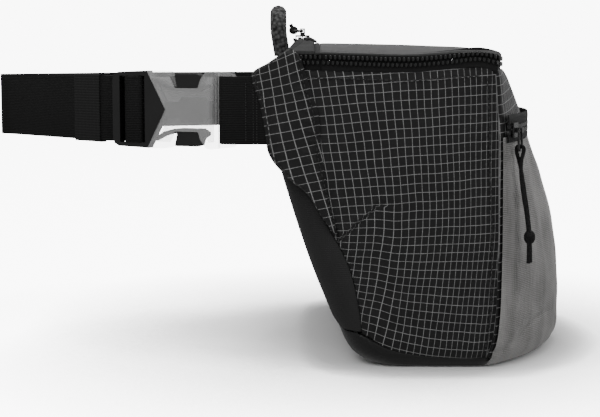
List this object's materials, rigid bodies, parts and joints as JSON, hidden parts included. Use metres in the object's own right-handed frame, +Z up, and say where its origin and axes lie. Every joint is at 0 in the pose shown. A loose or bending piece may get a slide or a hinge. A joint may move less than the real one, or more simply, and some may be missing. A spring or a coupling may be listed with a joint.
{
  "type": "waist pack",
  "caption": "Deep waist pack with a hinged zip lid, sheer front pocket, side wings and a webbing belt closed by a side-release buckle.",
  "frame": {"origin": "on the base's flat face, on the ground, in the middle of the pack's width", "axes": "+X towards the pack's front, away from the wearer; +Y across the wearer's body, from the buckle's wing to the plain wing; +Z up"},
  "size_m": [0.3595, 0.2431, 0.2127],
  "materials": {
    "ripstop": "black ripstop with a pale woven grid",
    "back_cloth": "smooth dark grey brushed cloth",
    "base_cloth": "coated black cloth, slight gloss",
    "lid_cloth": "smooth mid-grey cloth",
    "mesh": "sheer grey mesh",
    "lining_cloth": "light taffeta lining",
    "foam": "closed-cell foam",
    "stiffener": "plastic sheet",
    "webbing": "ribbed black webbing",
    "elastic": "ribbed black elastic",
    "zip_tape": "woven zip tape",
    "zip_teeth": "moulded teeth, glossy",
    "slider_metal": "black enamelled metal",
    "bail_metal": "blackened steel wire",
    "cord": "braided cord",
    "loop_knit": "mottled knitted cord",
    "clear_plastic": "frosted translucent plastic",
    "black_plastic": "moulded black plastic, satin"
  },
  "bodies": {
    "bag": {"base_panel": "base_cloth", "back_panel": "back_cloth", "front_panel": "ripstop", "side_panel_near": "ripstop", "side_panel_far": "ripstop", "back_foam": "foam", "base_stiffener": "stiffener", "lining": "lining_cloth", "front_pocket": "mesh", "main_zip_teeth_body": "zip_teeth", "main_zip_tape_body": "zip_tape", "pocket_zip_teeth": "zip_teeth", "pocket_zip_tape": "zip_tape", "rear_zip_teeth": "zip_teeth", "rear_zip_tape": "zip_tape", "yoke": "lid_cloth", "wing_pad_near": "back_cloth", "wing_skin_near": "ripstop", "wing_pad_far": "back_cloth", "wing_skin_far": "ripstop", "buckle_socket": "clear_plastic", "strap_near": "webbing", "strap_far": "webbing"},
    "lid": {"lid_panel": "lid_cloth", "main_zip_teeth_lid": "zip_teeth", "main_zip_tape_lid": "zip_tape"},
    "plug_end": {"buckle_plug": "black_plastic", "strap_adjuster": "webbing"},
    "upper_latch": {"latch_upper": "black_plastic"},
    "lower_latch": {"latch_lower": "black_plastic"},
    "keeper": {"strap_keeper": "elastic"},
    "pocket_zip_slider": {"pocket_slider": "slider_metal"},
    "pocket_zip_pull": {"pocket_bail": "bail_metal", "pocket_cord_front": "cord", "pocket_cord_back": "cord", "pocket_knot": "cord"},
    "main_zip_slider": {"main_slider": "slider_metal"},
    "main_zip_pull": {"main_bail": "bail_metal", "main_cord_front": "cord", "main_cord_back": "cord", "main_knot": "cord"},
    "rear_zip_slider": {"rear_slider": "slider_metal"},
    "rear_zip_pull": {"rear_bail": "bail_metal", "rear_knot": "cord"},
    "top_loop": {"carrying_loop": "loop_knit"}
  },
  "joints": [
    {"name": "lid_hinge", "type": "hinge", "parent": "bag", "child": "lid", "pos_m": [-0.078, 0, 0.1875], "axis": [0, -1, 0], "range_deg": [0, 95]},
    {"name": "buckle_release", "type": "slide", "parent": "bag", "child": "plug_end", "axis": [-0.9272, 0.3746, 0], "range_m": [0, 0.045], "deforming": ["latch_upper", "latch_lower"]},
    {"name": "upper_latch_squeeze", "type": "hinge", "parent": "plug_end", "child": "upper_latch", "pos_m": [-0.17175, -0.09571, 0.1667], "axis": [0.3746, 0.9272, 0], "range_deg": [0, 5], "stiffness_Nm_per_rad": 0.6},
    {"name": "lower_latch_squeeze", "type": "hinge", "parent": "plug_end", "child": "lower_latch", "pos_m": [-0.17175, -0.09571, 0.1323], "axis": [-0.3746, -0.9272, 0], "range_deg": [0, 5], "stiffness_Nm_per_rad": 0.6},
    {"name": "keeper_slide", "type": "slide", "parent": "plug_end", "child": "keeper", "axis": [-0.7001, 0.714, 0], "range_m": [0, 0.055]},
    {"name": "pocket_slider_travel", "type": "hinge", "parent": "bag", "child": "pocket_zip_slider", "pos_m": [-0.21234, 0, 0.138], "axis": [0, 0, 1], "range_deg": [0, 46], "deforming": ["pocket_cord_front", "pocket_cord_back", "pocket_knot"]},
    {"name": "pocket_pull_swing", "type": "hinge", "parent": "pocket_zip_slider", "child": "pocket_zip_pull", "pos_m": [0.03844, -0.10645, 0.138], "axis": [-0.3907, -0.9205, 0], "range_deg": [0, 75]},
    {"name": "main_slider_travel", "type": "slide", "parent": "bag", "child": "main_zip_slider", "axis": [1, 0, 0], "range_m": [0, 0.08]},
    {"name": "main_pull_swing", "type": "hinge", "parent": "main_zip_slider", "child": "main_zip_pull", "pos_m": [-0.0717, 0.1179, 0.1777], "axis": [1, 0, 0], "range_deg": [0, 90]},
    {"name": "rear_slider_travel", "type": "slide", "parent": "bag", "child": "rear_zip_slider", "axis": [0, 1, 0], "range_m": [0, 0.16]},
    {"name": "rear_pull_swing", "type": "hinge", "parent": "rear_zip_slider", "child": "rear_zip_pull", "pos_m": [-0.0865, -0.08, 0.1948], "axis": [0, 1, 0], "range_deg": [0, 100]},
    {"name": "loop_fold", "type": "hinge", "parent": "bag", "child": "top_loop", "pos_m": [-0.0995, 0, 0.19], "axis": [0, -1, 0], "range_deg": [-20, 75], "stiffness_Nm_per_rad": 0.03}
  ]
}
